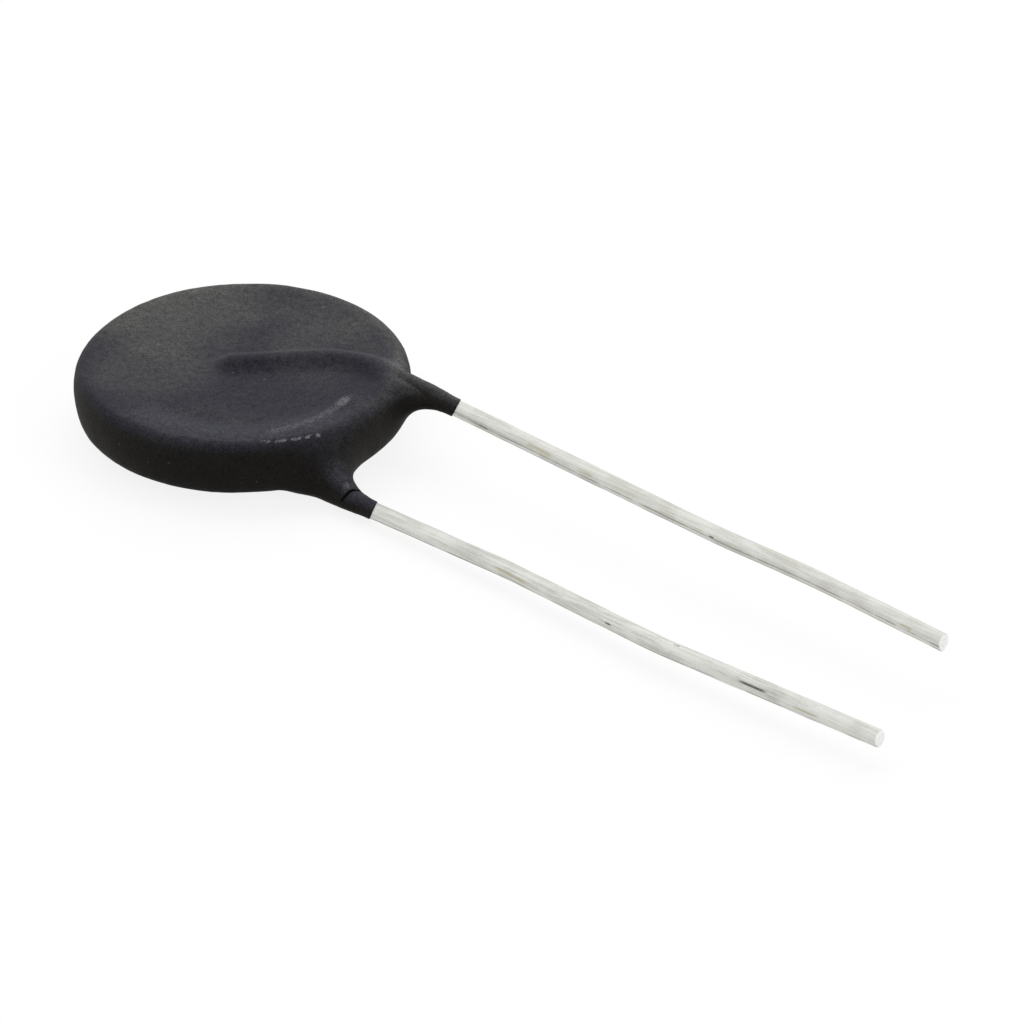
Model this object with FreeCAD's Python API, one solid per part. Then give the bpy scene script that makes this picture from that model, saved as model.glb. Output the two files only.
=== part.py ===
import FreeCAD, Part
import math
import os
from collections import namedtuple

# Disc thermistor: a black-coated ceramic disc that lies flat, with two tinned wires leaving it side by side.
# The disc's axis points up, the wires run towards +X, and the front wire lies on the disc's upper face.
# The back wire is the same wire turned over about the X axis, so it lies on the lower face.
# While the pieces are made, the middle of the ceramic disc is at zero. They are set down on Z = 0 at the end.
# Sizes are in millimetres and angles are in degrees.

# Ceramic disc and its two fired electrodes
ceramic_diameter = 17.6
ceramic_thickness = 1.9
ceramic_edge_break = 0.15
electrode_margin = 0.4
electrode_thickness = 0.05

# Tinned wires
wire_diameter = 1.0
lead_spacing = 7.94
lead_midline = 0.43
front_lead_reach = 47.9
back_lead_reach = 49.6
lead_tip_height = 0.75
lead_end_break = 0.08

# The stretch of each wire that is bent across its electrode
cross_angle = 47.0
cross_length = 6.9
cross_corner_place = 4.4
cross_bend_radius = 5.0

# Gentle bends of each lead in the open, placed by their distance from its cut end, with the sideways drift
front_first_bend_from_tip = 15.7
front_first_bend_drift = -0.52
front_second_bend_from_tip = 9.4
front_second_bend_drift = -0.33
front_tip_drift = -0.63
back_first_bend_from_tip = 26.1
back_first_bend_drift = -0.02
back_second_bend_from_tip = 14.9
back_second_bend_drift = -0.69
back_tip_drift = -0.4
open_bend_radius = 24.0

# Solder mound under and beside each wire
solder_film = 0.05
solder_half_width = 0.85
solder_climb_angle = 15.0

# Dipped coating over the disc
coat_on_face = 0.65
coat_on_edge = 1.0
dish_depth = 0.1
dish_rise_width = 1.6
dish_land = 0.79
upper_rim_round = 0.86
upper_shoulder_radius = 0.55
lower_rim_round = 0.74
lower_shoulder_radius = 0.48
rim_crown_height = 0.2

# Ridge that the coating makes over each wire on the disc
coat_over_wire = 0.16
ridge_root_radius = 1.5
ridge_root_rise = 0.3
ridge_end_overhang = 0.3

# Neck where the coating runs out along each wire
front_neck_length = 4.0
back_neck_length = 4.25
mouth_length = 1.2
mouth_coat = 0.05
web_radius = 1.55
web_reach = 2.8
web_lean = 0.4
web_tuck = 0.04
web_start_shrink = 0.27
web_sections = 8

# Crack across the coating of the back neck
crack_from_rim = 2.65
crack_width = 0.14
crack_overcut = 0.16
crack_angle = 215.0
crack_middle_angle = 210.0
crack_lean = 12.0

UP = FreeCAD.Vector(0, 0, 1)
OUTWARD = FreeCAD.Vector(1, 0, 0)

# Heights and radii that the pieces share
wire_radius = wire_diameter / 2
electrode_top = ceramic_thickness / 2 + electrode_thickness
wire_height = electrode_top + solder_film + wire_radius
face_height = electrode_top + coat_on_face
disc_radius = ceramic_diameter / 2 + coat_on_edge
dish_radius = disc_radius - upper_rim_round - dish_land
crest_height = wire_height + wire_radius + coat_over_wire

Straight = namedtuple("Straight", "start heading length")
Bend = namedtuple("Bend", "start heading centre axis turn length")


def unit(vector):
    """The vector's direction with a length of one."""
    return vector * (1 / vector.Length)


def turned(vector, axis, angle):
    """The vector turned about an axis by an angle in radians."""
    return FreeCAD.Rotation(axis, math.degrees(angle)).multVec(vector)


def tangent_path(corners, radii):
    """Straight runs from corner to corner, joined by tangent bends of the given radii."""
    path = []
    start = corners[0]
    for corner, following, radius in zip(corners[1:], corners[2:], radii):
        arriving = unit(corner - start)
        leaving = unit(following - corner)
        turn = arriving.getAngle(leaving)
        setback = radius * math.tan(turn / 2)
        bend_start = corner - arriving * setback
        axis = unit(arriving.cross(leaving))
        centre = bend_start + axis.cross(arriving) * radius
        path.append(Straight(start, arriving, (bend_start - start).Length))
        path.append(Bend(bend_start, arriving, centre, axis, turn, radius * turn))
        start = corner + leaving * setback
    path.append(Straight(start, unit(corners[-1] - start), (corners[-1] - start).Length))
    return path


def place_on_path(path, distance):
    """The point and heading at a distance along the path, which runs on straight past its ends."""
    for piece in path:
        if distance <= piece.length or piece is path[-1]:
            break
        distance -= piece.length
    if isinstance(piece, Straight) or distance < 0:
        return piece.start + piece.heading * distance, piece.heading
    angle = piece.turn * distance / piece.length
    point = piece.centre + turned(piece.start - piece.centre, piece.axis, angle)
    return point, turned(piece.heading, piece.axis, angle)


def round_bar(path, radius):
    """A round bar along the path: a cylinder for each straight run and part of a ring for each bend."""
    pieces = []
    for piece in path:
        end = Part.Face(Part.Wire(Part.makeCircle(radius, piece.start, piece.heading)))
        if isinstance(piece, Straight):
            pieces.append(end.extrude(piece.heading * piece.length))
        else:
            pieces.append(end.revolve(piece.centre, piece.axis, math.degrees(piece.turn)))
    return pieces[0].multiFuse(pieces[1:]).removeSplitter()


def one_solid(shape):
    """The single solid of a shape."""
    return shape.Solids[0]


def turned_over(shape):
    """The shape turned half a turn about the X axis."""
    return shape.rotated(FreeCAD.Vector(0, 0, 0), FreeCAD.Vector(1, 0, 0), 180)


def ceramic_disc():
    """The sintered ceramic disc with its edges broken."""
    height = FreeCAD.Vector(0, 0, -ceramic_thickness / 2)
    disc = Part.makeCylinder(ceramic_diameter / 2, ceramic_thickness, height)
    rims = [edge for edge in disc.Edges if isinstance(edge.Curve, Part.Circle)]
    return disc.makeChamfer(ceramic_edge_break, rims)


def front_electrode():
    """The fired silver layer on the upper face, short of the ceramic's edge by the bare margin."""
    base = FreeCAD.Vector(0, 0, ceramic_thickness / 2)
    return Part.makeCylinder(ceramic_diameter / 2 - electrode_margin, electrode_thickness, base)


def cross_corners(side_place):
    """The wire's end on the electrode and the corner where it turns to run outwards."""
    corner = FreeCAD.Vector(cross_corner_place, side_place, wire_height)
    angle = math.radians(cross_angle)
    inner_end = corner - FreeCAD.Vector(math.cos(angle), math.sin(angle), 0) * cross_length
    return [inner_end, corner]


def rim_place(side_place):
    """How far along X the coated disc's rim lies at a wire's side place."""
    return math.sqrt(disc_radius ** 2 - side_place ** 2)


def lead_path(side_place, reach, open_bends, tip_drift):
    """The route of one wire, as it lies on the upper face: across the electrode, over the rim, to its cut end."""
    leaving = rim_place(side_place)
    fall = (wire_height - lead_tip_height) / (reach - leaving)
    corners = cross_corners(side_place)
    corners.append(FreeCAD.Vector(leaving, side_place, wire_height))
    for from_tip, drift in open_bends + [(0.0, tip_drift)]:
        along = reach - from_tip
        height = wire_height - fall * (along - leaving)
        corners.append(FreeCAD.Vector(along, side_place + drift, height))
    radii = [cross_bend_radius] + [open_bend_radius] * (len(corners) - 3)
    return tangent_path(corners, radii)


def lead(path):
    """One tinned wire with the edge of its cut end broken."""
    bar = one_solid(round_bar(path, wire_radius))
    last = path[-1]
    tip = last.start + last.heading * last.length
    cut_edge = [edge for edge in bar.Edges if (edge.CenterOfMass - tip).Length < lead_end_break]
    return bar.makeChamfer(lead_end_break, cut_edge)


def solder_section(place, heading, full):
    """The mound's section across the wire: flat foot, sloping flanks, and a chord inside the wire.

    The mound's ends are half of this section, from the middle to one flank, turned about the middle.
    """
    side = UP.cross(heading)
    climb = math.radians(solder_climb_angle)

    def point(across, above):
        return place + side * across + UP * above

    foot = electrode_top - wire_height
    wire_side = wire_radius * math.cos(climb)
    wire_rise = wire_radius * math.sin(climb)
    if full:
        left = [point(-wire_side, wire_rise), point(-solder_half_width, foot)]
    else:
        left = [point(0, wire_rise), point(0, foot)]
    corners = left + [point(solder_half_width, foot), point(wire_side, wire_rise)]
    return Part.Face(Part.makePolygon(corners + corners[:1]))


def solder(path, wire):
    """The solder mound along the wire's straight run across the electrode, with rounded ends."""
    run = path[0]
    far_end = run.start + run.heading * run.length
    mound = solder_section(run.start, run.heading, True).extrude(run.heading * run.length)
    ends = [solder_section(place, heading, False).revolve(place, UP, 180)
            for place, heading in ((run.start, run.heading), (far_end, run.heading * -1))]
    return one_solid(mound.multiFuse(ends).removeSplitter().cut(wire))


def dish_lines(height):
    """The slightly sunken face, from the axis to the dish's lip: a level floor and an arc that curves up from it."""
    sign = 1 if height > 0 else -1
    radius = (dish_rise_width ** 2 + dish_depth ** 2) / (2 * dish_depth)
    half_turn = math.asin(dish_rise_width / radius) / 2
    middle = FreeCAD.Vector(0, 0, height - sign * dish_depth)
    floor_edge = middle + OUTWARD * (dish_radius - dish_rise_width)
    halfway = floor_edge + OUTWARD * radius * math.sin(half_turn) + UP * sign * radius * (1 - math.cos(half_turn))
    lip = FreeCAD.Vector(dish_radius, 0, height)
    return [Part.makeLine(middle, floor_edge), Part.Arc(floor_edge, halfway, lip).toShape()]


def rim_arcs(round_off, shoulder_radius, height):
    """The rim from the face's edge to its crown: a small arc and a larger one, tangent to each other.

    The small arc leaves the face level and the large one ends upright, which fixes the large one's radius.
    """
    sign = 1 if height > 0 else -1
    rise = abs(height - rim_crown_height)
    crown_radius = (round_off ** 2 + rise ** 2 - 2 * rise * shoulder_radius) / (2 * (round_off - shoulder_radius))
    shoulder_centre = FreeCAD.Vector(disc_radius - round_off, 0, height - sign * shoulder_radius)
    crown_centre = FreeCAD.Vector(disc_radius - crown_radius, 0, rim_crown_height)
    joint = unit(shoulder_centre - crown_centre)
    arcs = []
    for centre, radius, first, last in ((shoulder_centre, shoulder_radius, UP * sign, joint),
                                        (crown_centre, crown_radius, joint, OUTWARD)):
        middle = unit(first + last)
        arcs.append(Part.Arc(centre + first * radius, centre + middle * radius, centre + last * radius).toShape())
    return arcs


def coated_body():
    """The coated disc without its ridges: a lathe-turned lens with dished faces and a full, rounded rim."""
    outline = []
    for height, round_off, shoulder_radius in ((face_height, upper_rim_round, upper_shoulder_radius),
                                               (-face_height, lower_rim_round, lower_shoulder_radius)):
        lip = FreeCAD.Vector(dish_radius, 0, height)
        shoulder = FreeCAD.Vector(disc_radius - round_off, 0, height)
        outline += dish_lines(height)
        outline.append(Part.makeLine(lip, shoulder))
        outline += rim_arcs(round_off, shoulder_radius, height)
    middle = face_height - dish_depth
    outline.append(Part.makeLine(FreeCAD.Vector(0, 0, middle), FreeCAD.Vector(0, 0, -middle)))
    profile = Part.Face(Part.Wire(Part.__sortEdges__(outline)))
    return profile.revolve(FreeCAD.Vector(0, 0, 0), UP, 360)


def stretch(path, first, last):
    """The part of a path between two distances along it. The first may lie before the path's start."""
    pieces = []
    begun = 0.0
    for number, piece in enumerate(path):
        low = first if number == 0 else max(first, begun)
        high = min(last, begun + piece.length)
        if high > low:
            place, heading = place_on_path(path, low)
            if isinstance(piece, Straight):
                pieces.append(Straight(place, heading, high - low))
            else:
                turn = piece.turn * (high - low) / piece.length
                pieces.append(Bend(place, heading, piece.centre, piece.axis, turn, high - low))
        begun += piece.length
    return pieces


def dome(place, outward, radius):
    """Half a ball that closes a round bar's end."""
    return Part.makeSphere(radius, place, outward, 0, 90, 360)


def ridge_root(path, over_face):
    """The ridge's broad root: a fat round bar sunk in the disc, so that only its back swells above the face."""
    run = stretch(path, -ridge_end_overhang, over_face)
    end, heading = place_on_path(path, over_face)
    root = round_bar(run, ridge_root_radius).multiFuse([dome(run[0].start, run[0].heading * -1, ridge_root_radius),
                                                        dome(end, heading, ridge_root_radius)])
    sunk = face_height + ridge_root_rise - ridge_root_radius - wire_height
    return one_solid(root).translated(UP * sunk)


def wire_skin(path, rim, neck_length):
    """The skin close round one wire, with a domed inner end and a thin, tapered mouth."""
    radius = wire_radius + coat_over_wire
    run = stretch(path, -ridge_end_overhang, rim + neck_length - mouth_length)
    mouth_start, heading = place_on_path(path, rim + neck_length - mouth_length)
    mouth = Part.makeCone(radius, wire_radius + mouth_coat, mouth_length, mouth_start, heading)
    return one_solid(round_bar(run, radius).multiFuse([dome(run[0].start, run[0].heading * -1, radius), mouth]))


def web(path, over_face, rim):
    """The web that fills the corner between rim and wire: a loft through circles that draw in to the wire.

    Inside the disc the circles grow up to the rim. Past it they shrink with the square of the way still to go,
    and their tops stay below the skin's crest, so the web hangs under the wire.
    """
    sections = []
    thin = wire_radius + coat_over_wire - web_tuck
    top = face_height + ridge_root_rise - wire_height
    for step in range(web_sections + 1):
        share = step / web_sections
        distance = over_face + (rim + web_reach - over_face) * share
        place, heading = place_on_path(path, distance)
        fullness = min(1.0, (rim + web_reach - distance) / web_reach) ** 2
        radius = thin + (web_radius - thin) * fullness
        drop = radius - thin - (top - thin) * fullness
        side = UP.cross(heading) * -web_lean * fullness
        inside = max(0.0, (rim - distance) / (rim - over_face))
        buried = radius * (1 - web_start_shrink * inside ** 2)
        sections.append(Part.Wire(Part.makeCircle(buried, place + side - UP * drop, heading)))
    return Part.makeLoft(sections, True, False)


def wire_cover(path, side_place, neck_length):
    """The coating over one wire: ridge root, web and skin, joined."""
    over_face = path[0].length + path[1].length
    rim = distance_to_rim(path, side_place)
    return ridge_root(path, over_face).fuse(web(path, over_face, rim)).fuse(wire_skin(path, rim, neck_length))


def distance_to_rim(path, side_place):
    """How far along its route a wire passes the disc's rim."""
    over_face = path[0].length + path[1].length
    bend_end, _ = place_on_path(path, over_face)
    return over_face + rim_place(side_place) - bend_end.x


def crack(path, side_place):
    """The wedge-shaped crack part of the way round a neck, from the coating's skin down to the wire."""
    place, heading = place_on_path(path, distance_to_rim(path, side_place) + crack_from_rim)
    outside = wire_radius + coat_over_wire + crack_overcut
    wedge = Part.makePolygon([place + UP * wire_radius, place + UP * outside + heading * crack_width / 2,
                              place + UP * outside - heading * crack_width / 2, place + UP * wire_radius])
    ring = Part.Face(wedge).revolve(place, heading, crack_angle)
    ring.rotate(place, heading, crack_middle_angle - crack_angle / 2)
    ring.rotate(place, UP, crack_lean)
    return ring


def seat(shape):
    """Move a piece so that the part rests on Z = 0 under the middle of its length."""
    longest = max(front_lead_reach, back_lead_reach)
    return shape.translated(FreeCAD.Vector((disc_radius - longest) / 2, 0, crest_height))


def main():
    """Make every piece and write each one to its own file."""
    front_side = lead_midline + lead_spacing / 2
    back_side = lead_spacing / 2 - lead_midline
    front_path = lead_path(front_side, front_lead_reach,
                           [(front_first_bend_from_tip, front_first_bend_drift),
                            (front_second_bend_from_tip, front_second_bend_drift)], front_tip_drift)
    back_path = lead_path(back_side, back_lead_reach,
                          [(back_first_bend_from_tip, -back_first_bend_drift),
                           (back_second_bend_from_tip, -back_second_bend_drift)], -back_tip_drift)
    front_wire = lead(front_path)
    back_wire = lead(back_path)
    front_mound = solder(front_path, front_wire)
    back_mound = solder(back_path, back_wire)
    pieces = {
        "ceramic_disc": ceramic_disc(),
        "front_electrode": front_electrode(),
        "back_electrode": turned_over(front_electrode()),
        "front_solder": front_mound,
        "back_solder": turned_over(back_mound),
        "front_lead": front_wire,
        "back_lead": turned_over(back_wire),
    }
    front_cover = wire_cover(front_path, front_side, front_neck_length)
    back_cover = turned_over(wire_cover(back_path, back_side, back_neck_length))
    dipped = coated_body().fuse(front_cover).fuse(back_cover)
    cracked = dipped.cut(turned_over(crack(back_path, back_side)))
    pieces["coating"] = one_solid(cracked.cut(list(pieces.values())))

    os.makedirs("parts", exist_ok=True)
    for name, piece in pieces.items():
        seat(piece).exportStep("parts/" + name + ".step")
        print(name, "valid", piece.isValid(), "solids", len(piece.Solids), "volume", round(piece.Volume, 3))


main()
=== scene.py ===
"""A disc thermistor in its black dipped coating, lying flat, with two bare tinned wires.

The coating is one skin that follows what it was dipped over: the dished disc, the ridge over each bent wire,
and the webbed neck where each wire leaves the rim. Shapes are worked out in millimetres about the middle of
the ceramic disc, whose place comes from the construction model, and go into the meshes in metres.
"""

import logging
import math
from collections.abc import Callable, Mapping, Sequence
from dataclasses import dataclass, field
from enum import Enum

import bpy
import numpy as np
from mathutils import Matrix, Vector


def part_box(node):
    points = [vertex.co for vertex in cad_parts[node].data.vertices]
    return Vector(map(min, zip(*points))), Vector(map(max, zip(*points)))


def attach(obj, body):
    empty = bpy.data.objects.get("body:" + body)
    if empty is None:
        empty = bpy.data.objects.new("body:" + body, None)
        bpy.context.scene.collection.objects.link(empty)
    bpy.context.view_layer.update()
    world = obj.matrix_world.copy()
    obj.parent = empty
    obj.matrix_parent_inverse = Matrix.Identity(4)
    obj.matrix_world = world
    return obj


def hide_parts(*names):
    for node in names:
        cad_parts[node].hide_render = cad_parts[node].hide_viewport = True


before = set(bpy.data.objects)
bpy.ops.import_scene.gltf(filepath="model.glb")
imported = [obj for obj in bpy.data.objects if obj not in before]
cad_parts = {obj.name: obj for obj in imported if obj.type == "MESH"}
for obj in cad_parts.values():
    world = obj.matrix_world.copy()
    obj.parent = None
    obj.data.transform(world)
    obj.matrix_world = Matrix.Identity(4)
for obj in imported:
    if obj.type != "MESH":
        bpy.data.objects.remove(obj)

MM = 0.001
BODY = "root"
UP = np.array([0.0, 0.0, 1.0])
WHITE = (1.0, 1.0, 1.0, 1.0)
NOISE_MIDDLE = 0.5

Colour = tuple[float, float, float]
Span = tuple[float, float]
Spot = tuple[float, float, float, float, float]


class WireFace(Enum):
    """The face of the disc that a wire lies on. The value is what turns Y and Z over."""

    UPPER = 1.0
    LOWER = -1.0

    def turned(self, points: np.ndarray) -> np.ndarray:
        """Points turned half a turn about the X axis for the lower face, or as they are for the upper one."""
        return points * np.array([1.0, self.value, self.value])


def smooth_step(low: float, high: float, values: np.ndarray) -> np.ndarray:
    """Zero below low, one above high, and the cubic 3t^2 - 2t^3 between them."""
    share = np.clip((values - low) / (high - low), 0.0, 1.0)
    return share * share * (3.0 - 2.0 * share)


def smooth_union(first: np.ndarray, second: np.ndarray, reach: np.ndarray | float) -> np.ndarray:
    """The lower of two distances, rounded where they differ by less than the reach.

    The fillet lowers the smaller distance by a quarter of the reach times the square of how far inside the
    reach the difference is.
    """
    inside = np.maximum(reach - np.abs(first - second), 0.0) / reach
    return np.minimum(first, second) - inside * inside * reach / 4.0


def ripple(points: np.ndarray, wavelength: float, seed: int, waves: int = 14) -> np.ndarray:
    """Smooth unevenness about zero: sine waves in seeded directions, added, over the root of their number.

    Args:
        points: Places in millimetres, one row each.
        wavelength: The middle length of the waves, in millimetres.
        seed: The seed of the directions, lengths and phases.
        waves: How many waves are added.

    Returns:
        One height for each point, mostly between -1 and 1.
    """
    shortest, longest = 0.7, 1.4
    random = np.random.default_rng(seed)
    directions = random.normal(size=(waves, 3))
    directions /= np.linalg.norm(directions, axis=1, keepdims=True)
    lengths = wavelength * random.uniform(shortest, longest, waves)
    phases = random.uniform(0.0, 2.0 * math.pi, waves)
    angles = points @ (directions.T * (2.0 * math.pi / lengths)) + phases
    return np.sin(angles).sum(axis=1) / math.sqrt(waves)


@dataclass(frozen=True)
class Stretch:
    """One straight run or one bend of a wire's middle line.

    Attributes:
        start: Where the stretch starts.
        heading: The direction there, of length one.
        length: Its length along the wire.
        radius: The bend's radius, or zero for a straight run.
        outward: The direction from the bend's centre to its start, of length one.
    """

    start: np.ndarray
    heading: np.ndarray
    length: float
    radius: float = 0.0
    outward: np.ndarray = field(default_factory=lambda: UP)

    def at(self, along: np.ndarray) -> tuple[np.ndarray, np.ndarray]:
        """Points and headings at distances along the stretch.

        On a bend the point is the centre plus the radius times (outward cos a + heading sin a), where a is
        the distance divided by the radius.

        Args:
            along: Distances from the stretch's start.

        Returns:
            The points and the headings, one row each.
        """
        if not self.radius:
            return self.start + along[:, None] * self.heading, np.broadcast_to(self.heading, (len(along), 3))
        centre = self.start - self.outward * self.radius
        angle = (along / self.radius)[:, None]
        points = centre + self.radius * (np.cos(angle) * self.outward + np.sin(angle) * self.heading)
        return points, np.cos(angle) * self.heading - np.sin(angle) * self.outward

    def nearest(self, points: np.ndarray) -> np.ndarray:
        """How far along the stretch each point's nearest place lies.

        Args:
            points: Places in millimetres, one row each.

        Returns:
            Distances from the stretch's start, kept within the stretch.
        """
        if not self.radius:
            return np.clip((points - self.start) @ self.heading, 0.0, self.length)
        spokes = points - (self.start - self.outward * self.radius)
        angle = np.arctan2(spokes @ self.heading, spokes @ self.outward)
        return np.clip(angle * self.radius, 0.0, self.length)


@dataclass
class WireRoute:
    """The middle line of one wire from its hidden end to its cut end, as if it lay on the upper face.

    The wire crosses its electrode at an angle, turns to run outwards at its side place, leaves over the rim,
    and then comes down to its tip through gentle bends. Sizes are in millimetres and angles in degrees.
    """

    side: float
    reach: float
    open_bends: tuple[tuple[float, float], ...]
    tip_drift: float
    rim_radius: float = 9.8
    height: float = 1.55
    tip_height: float = 0.75
    cross_angle: float = 47.0
    cross_length: float = 6.9
    cross_corner: float = 4.4
    cross_radius: float = 5.0
    open_radius: float = 24.0
    stretches: list[Stretch] = field(init=False)

    def __post_init__(self) -> None:
        """Lay the straight runs from corner to corner and join them with tangent bends."""
        corners = self.corners()
        radii = [self.cross_radius] + [self.open_radius] * (len(corners) - 3)
        self.stretches = []
        start = corners[0]
        for corner, following, radius in zip(corners[1:], corners[2:], radii):
            arriving = (corner - start) / np.linalg.norm(corner - start)
            leaving = (following - corner) / np.linalg.norm(following - corner)
            turn = math.acos(float(np.clip(arriving @ leaving, -1.0, 1.0)))
            setback = radius * math.tan(turn / 2.0)
            bend_start = corner - arriving * setback
            inward = leaving - arriving * float(arriving @ leaving)
            inward /= np.linalg.norm(inward)
            self.stretches.append(Stretch(start, arriving, float(np.linalg.norm(bend_start - start))))
            self.stretches.append(Stretch(bend_start, arriving, radius * turn, radius, -inward))
            start = corner + leaving * setback
        last = corners[-1] - start
        self.stretches.append(Stretch(start, last / np.linalg.norm(last), float(np.linalg.norm(last))))

    def corners(self) -> list[np.ndarray]:
        """The corners that the route's runs meet at.

        Returns:
            The places from the hidden end to the tip. The fall towards the tip is even.
        """
        angle = math.radians(self.cross_angle)
        corner = np.array([self.cross_corner, self.side, self.height])
        inner_end = corner - self.cross_length * np.array([math.cos(angle), math.sin(angle), 0.0])
        leaving = math.sqrt(self.rim_radius ** 2 - self.side ** 2)
        fall = (self.height - self.tip_height) / (self.reach - leaving)
        corners = [inner_end, corner, np.array([leaving, self.side, self.height])]
        for from_tip, drift in (*self.open_bends, (0.0, self.tip_drift)):
            along = self.reach - from_tip
            corners.append(np.array([along, self.side + drift, self.height - fall * (along - leaving)]))
        return corners

    @property
    def length(self) -> float:
        """The wire's whole length."""
        return sum(stretch.length for stretch in self.stretches)

    @property
    def to_rim(self) -> float:
        """How far along the wire it passes the disc's rim.

        Returns:
            The distance from the wire's hidden end.
        """
        over_face = self.stretches[0].length + self.stretches[1].length
        leaving = math.sqrt(self.rim_radius ** 2 - self.side ** 2)
        return over_face + leaving - float(self.stretches[2].start[0])

    def at(self, along: np.ndarray) -> tuple[np.ndarray, np.ndarray]:
        """Points and headings at distances along the wire. The last run goes on straight past its end.

        Args:
            along: Distances from the wire's hidden end.

        Returns:
            The points and the headings, one row each.
        """
        points = np.empty((len(along), 3))
        headings = np.empty((len(along), 3))
        begun = 0.0
        for stretch in self.stretches:
            reached = along >= begun
            points[reached], headings[reached] = stretch.at(along[reached] - begun)
            begun += stretch.length
        return points, headings

    def nearest(self, points: np.ndarray, count: int,
                start: float) -> tuple[np.ndarray, np.ndarray, np.ndarray, np.ndarray]:
        """Where points lie beside the wire's first stretches.

        Args:
            points: Places in millimetres, one row each.
            count: How many of the stretches are looked at.
            start: How far along the wire the first of them begins.

        Returns:
            For each point its distance from the middle line, how far along the wire its nearest place is, and
            the sideways and upward parts of its direction from there, sideways being outwards from the part's
            midline.
        """
        tiny = 1e-6
        best = np.full(len(points), np.inf)
        place = np.zeros(len(points))
        side_part = np.zeros(len(points))
        up_part = np.zeros(len(points))
        begun = 0.0
        for stretch in self.stretches[:count]:
            along = np.maximum(stretch.nearest(points), start - begun)
            middle, heading = stretch.at(along)
            offset = points - middle
            distance = np.linalg.norm(offset, axis=1)
            closer = distance < best
            across = offset[:, 1] * heading[:, 0] - offset[:, 0] * heading[:, 1]
            best = np.where(closer, distance, best)
            place = np.where(closer, along + begun, place)
            side_part = np.where(closer, across / np.maximum(distance, tiny), side_part)
            up_part = np.where(closer, offset[:, 2] / np.maximum(distance, tiny), up_part)
            begun += stretch.length
        return best, place, side_part, up_part


def surface_net(values: np.ndarray, axes: Sequence[np.ndarray]) -> tuple[np.ndarray, np.ndarray]:
    """The zero level of a field on a grid, as points and four-sided faces that look outwards.

    A cell whose corners differ in sign gets one point, the mean of the places where the field crosses zero on
    the cell's edges, each found by a straight line between the edge's ends. A grid edge that crosses zero
    gets one face, between the points of the four cells round it.

    Args:
        values: The field, negative inside, on the grid of the three axes.
        axes: The grid's places along X, Y and Z.

    Returns:
        The points, one row each, and the faces as four point numbers a row.
    """
    cells = tuple(count - 1 for count in values.shape)
    totals = np.zeros((*cells, 3), np.float32)
    counts = np.zeros(cells, np.int16)
    crossings = []
    for axis in range(3):
        low = np.take(values, range(values.shape[axis] - 1), axis)
        high = np.take(values, range(1, values.shape[axis]), axis)
        edges = np.argwhere((low < 0) != (high < 0))
        at = tuple(edges.T)
        share = low[at] / (low[at] - high[at])
        places = np.stack([axes[number][edges[:, number]] for number in range(3)], axis=1)
        step = axes[axis][edges[:, axis] + 1] - axes[axis][edges[:, axis]]
        places[:, axis] += share * step
        crossings.append((edges, low[at] < 0))
        second, third = (axis + 1) % 3, (axis + 2) % 3
        for back_second in (0, 1):
            for back_third in (0, 1):
                cell = edges.copy()
                cell[:, second] -= back_second
                cell[:, third] -= back_third
                kept = ((cell >= 0) & (cell < cells)).all(axis=1)
                np.add.at(totals, tuple(cell[kept].T), places[kept])
                np.add.at(counts, tuple(cell[kept].T), 1)
    used = counts > 0
    numbers = np.full(cells, -1, np.int64)
    numbers[used] = np.arange(int(used.sum()))
    points = totals[used] / counts[used][:, None]
    faces = []
    for axis, (edges, leaving) in enumerate(crossings):
        second, third = (axis + 1) % 3, (axis + 2) % 3
        ring = []
        for back_second, back_third in ((1, 1), (0, 1), (0, 0), (1, 0)):
            cell = edges.copy()
            cell[:, second] -= back_second
            cell[:, third] -= back_third
            ring.append(numbers[tuple(cell.T)])
        quads = np.stack(ring, axis=1)
        faces.append(np.where(leaving[:, None], quads, quads[:, ::-1]))
    return points.astype(float), np.concatenate(faces)


def settle(points: np.ndarray, distance: Callable[[np.ndarray], np.ndarray], rounds: int = 4) -> np.ndarray:
    """Move points along the field's slope until they lie on its zero level, by Newton's rule.

    Args:
        points: Places near the zero level, one row each.
        distance: The field.
        rounds: How many times the rule is applied.

    Returns:
        The moved points.
    """
    reach, longest = 0.02, 0.08
    flattest, tiny = 0.2, 1e-9
    for _ in range(rounds):
        slope = np.stack([(distance(points + step) - distance(points - step)) / (2.0 * reach)
                          for step in np.eye(3) * reach], axis=1)
        steepness = np.maximum((slope ** 2).sum(axis=1), flattest)
        move = distance(points) / steepness
        shift = -slope * move[:, None]
        length = np.linalg.norm(shift, axis=1)
        points = points + shift * np.minimum(1.0, longest / np.maximum(length, tiny))[:, None]
    return points


def put_in_frame(points: np.ndarray) -> np.ndarray:
    """Points in millimetres about the ceramic disc's middle, as metres in the part's frame."""
    low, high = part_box("ceramic_disc")
    return points * MM + np.array((low + high) / 2.0)


def make_piece(name: str, points: np.ndarray, faces: Sequence[Sequence[int]]) -> bpy.types.Object:
    """A smooth-shaded object with its place in its mesh.

    Args:
        name: The piece's name.
        points: Places in millimetres about the ceramic disc's middle.
        faces: Point numbers of each face.

    Returns:
        The object, linked to the scene.
    """
    mesh = bpy.data.meshes.new(name)
    mesh.from_pydata(put_in_frame(points).tolist(), [], faces)
    mesh.polygons.foreach_set("use_smooth", np.ones(len(mesh.polygons), bool))
    mesh.update()
    piece = bpy.data.objects.new(name, mesh)
    bpy.context.scene.collection.objects.link(piece)
    return piece


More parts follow.
